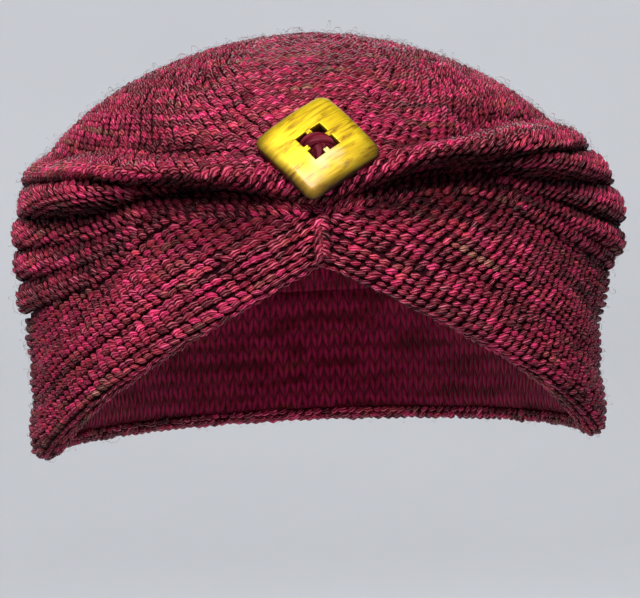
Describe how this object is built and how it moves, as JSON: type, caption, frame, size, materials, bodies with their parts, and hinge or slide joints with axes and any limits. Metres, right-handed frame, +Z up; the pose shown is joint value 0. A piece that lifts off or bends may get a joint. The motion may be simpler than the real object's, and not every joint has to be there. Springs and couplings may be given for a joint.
{
  "type": "turban headwrap",
  "caption": "Knitted turban headwrap: a domed crown drapes in folds over a band that rises to a gathered arch at the front, under a square domed shell button.",
  "frame": {"origin": "centre of the head opening, level with the lowest part of the rim, where the wrap sits on a head", "axes": "+Z up through the crown, +Y from the front to the back, so the front with the button faces -Y, and +X to the right as seen from the front"},
  "size_m": [0.1922, 0.218, 0.129],
  "materials": {
    "crown_wool": "matte hand-knitted wool, variegated burgundy",
    "band_wool": "matte hand-knitted wool, variegated burgundy",
    "cinch_wool": "matte hand-knitted wool, gathered tight",
    "button_wool": "matte wool yarn",
    "gold_shell": "polished shell dyed gold, streaked"
  },
  "bodies": {
    "root": {"crown": "crown_wool", "brim_band": "band_wool", "front_gather": "cinch_wool", "button": "gold_shell", "button_yarn": "button_wool"}
  },
  "joints": []
}
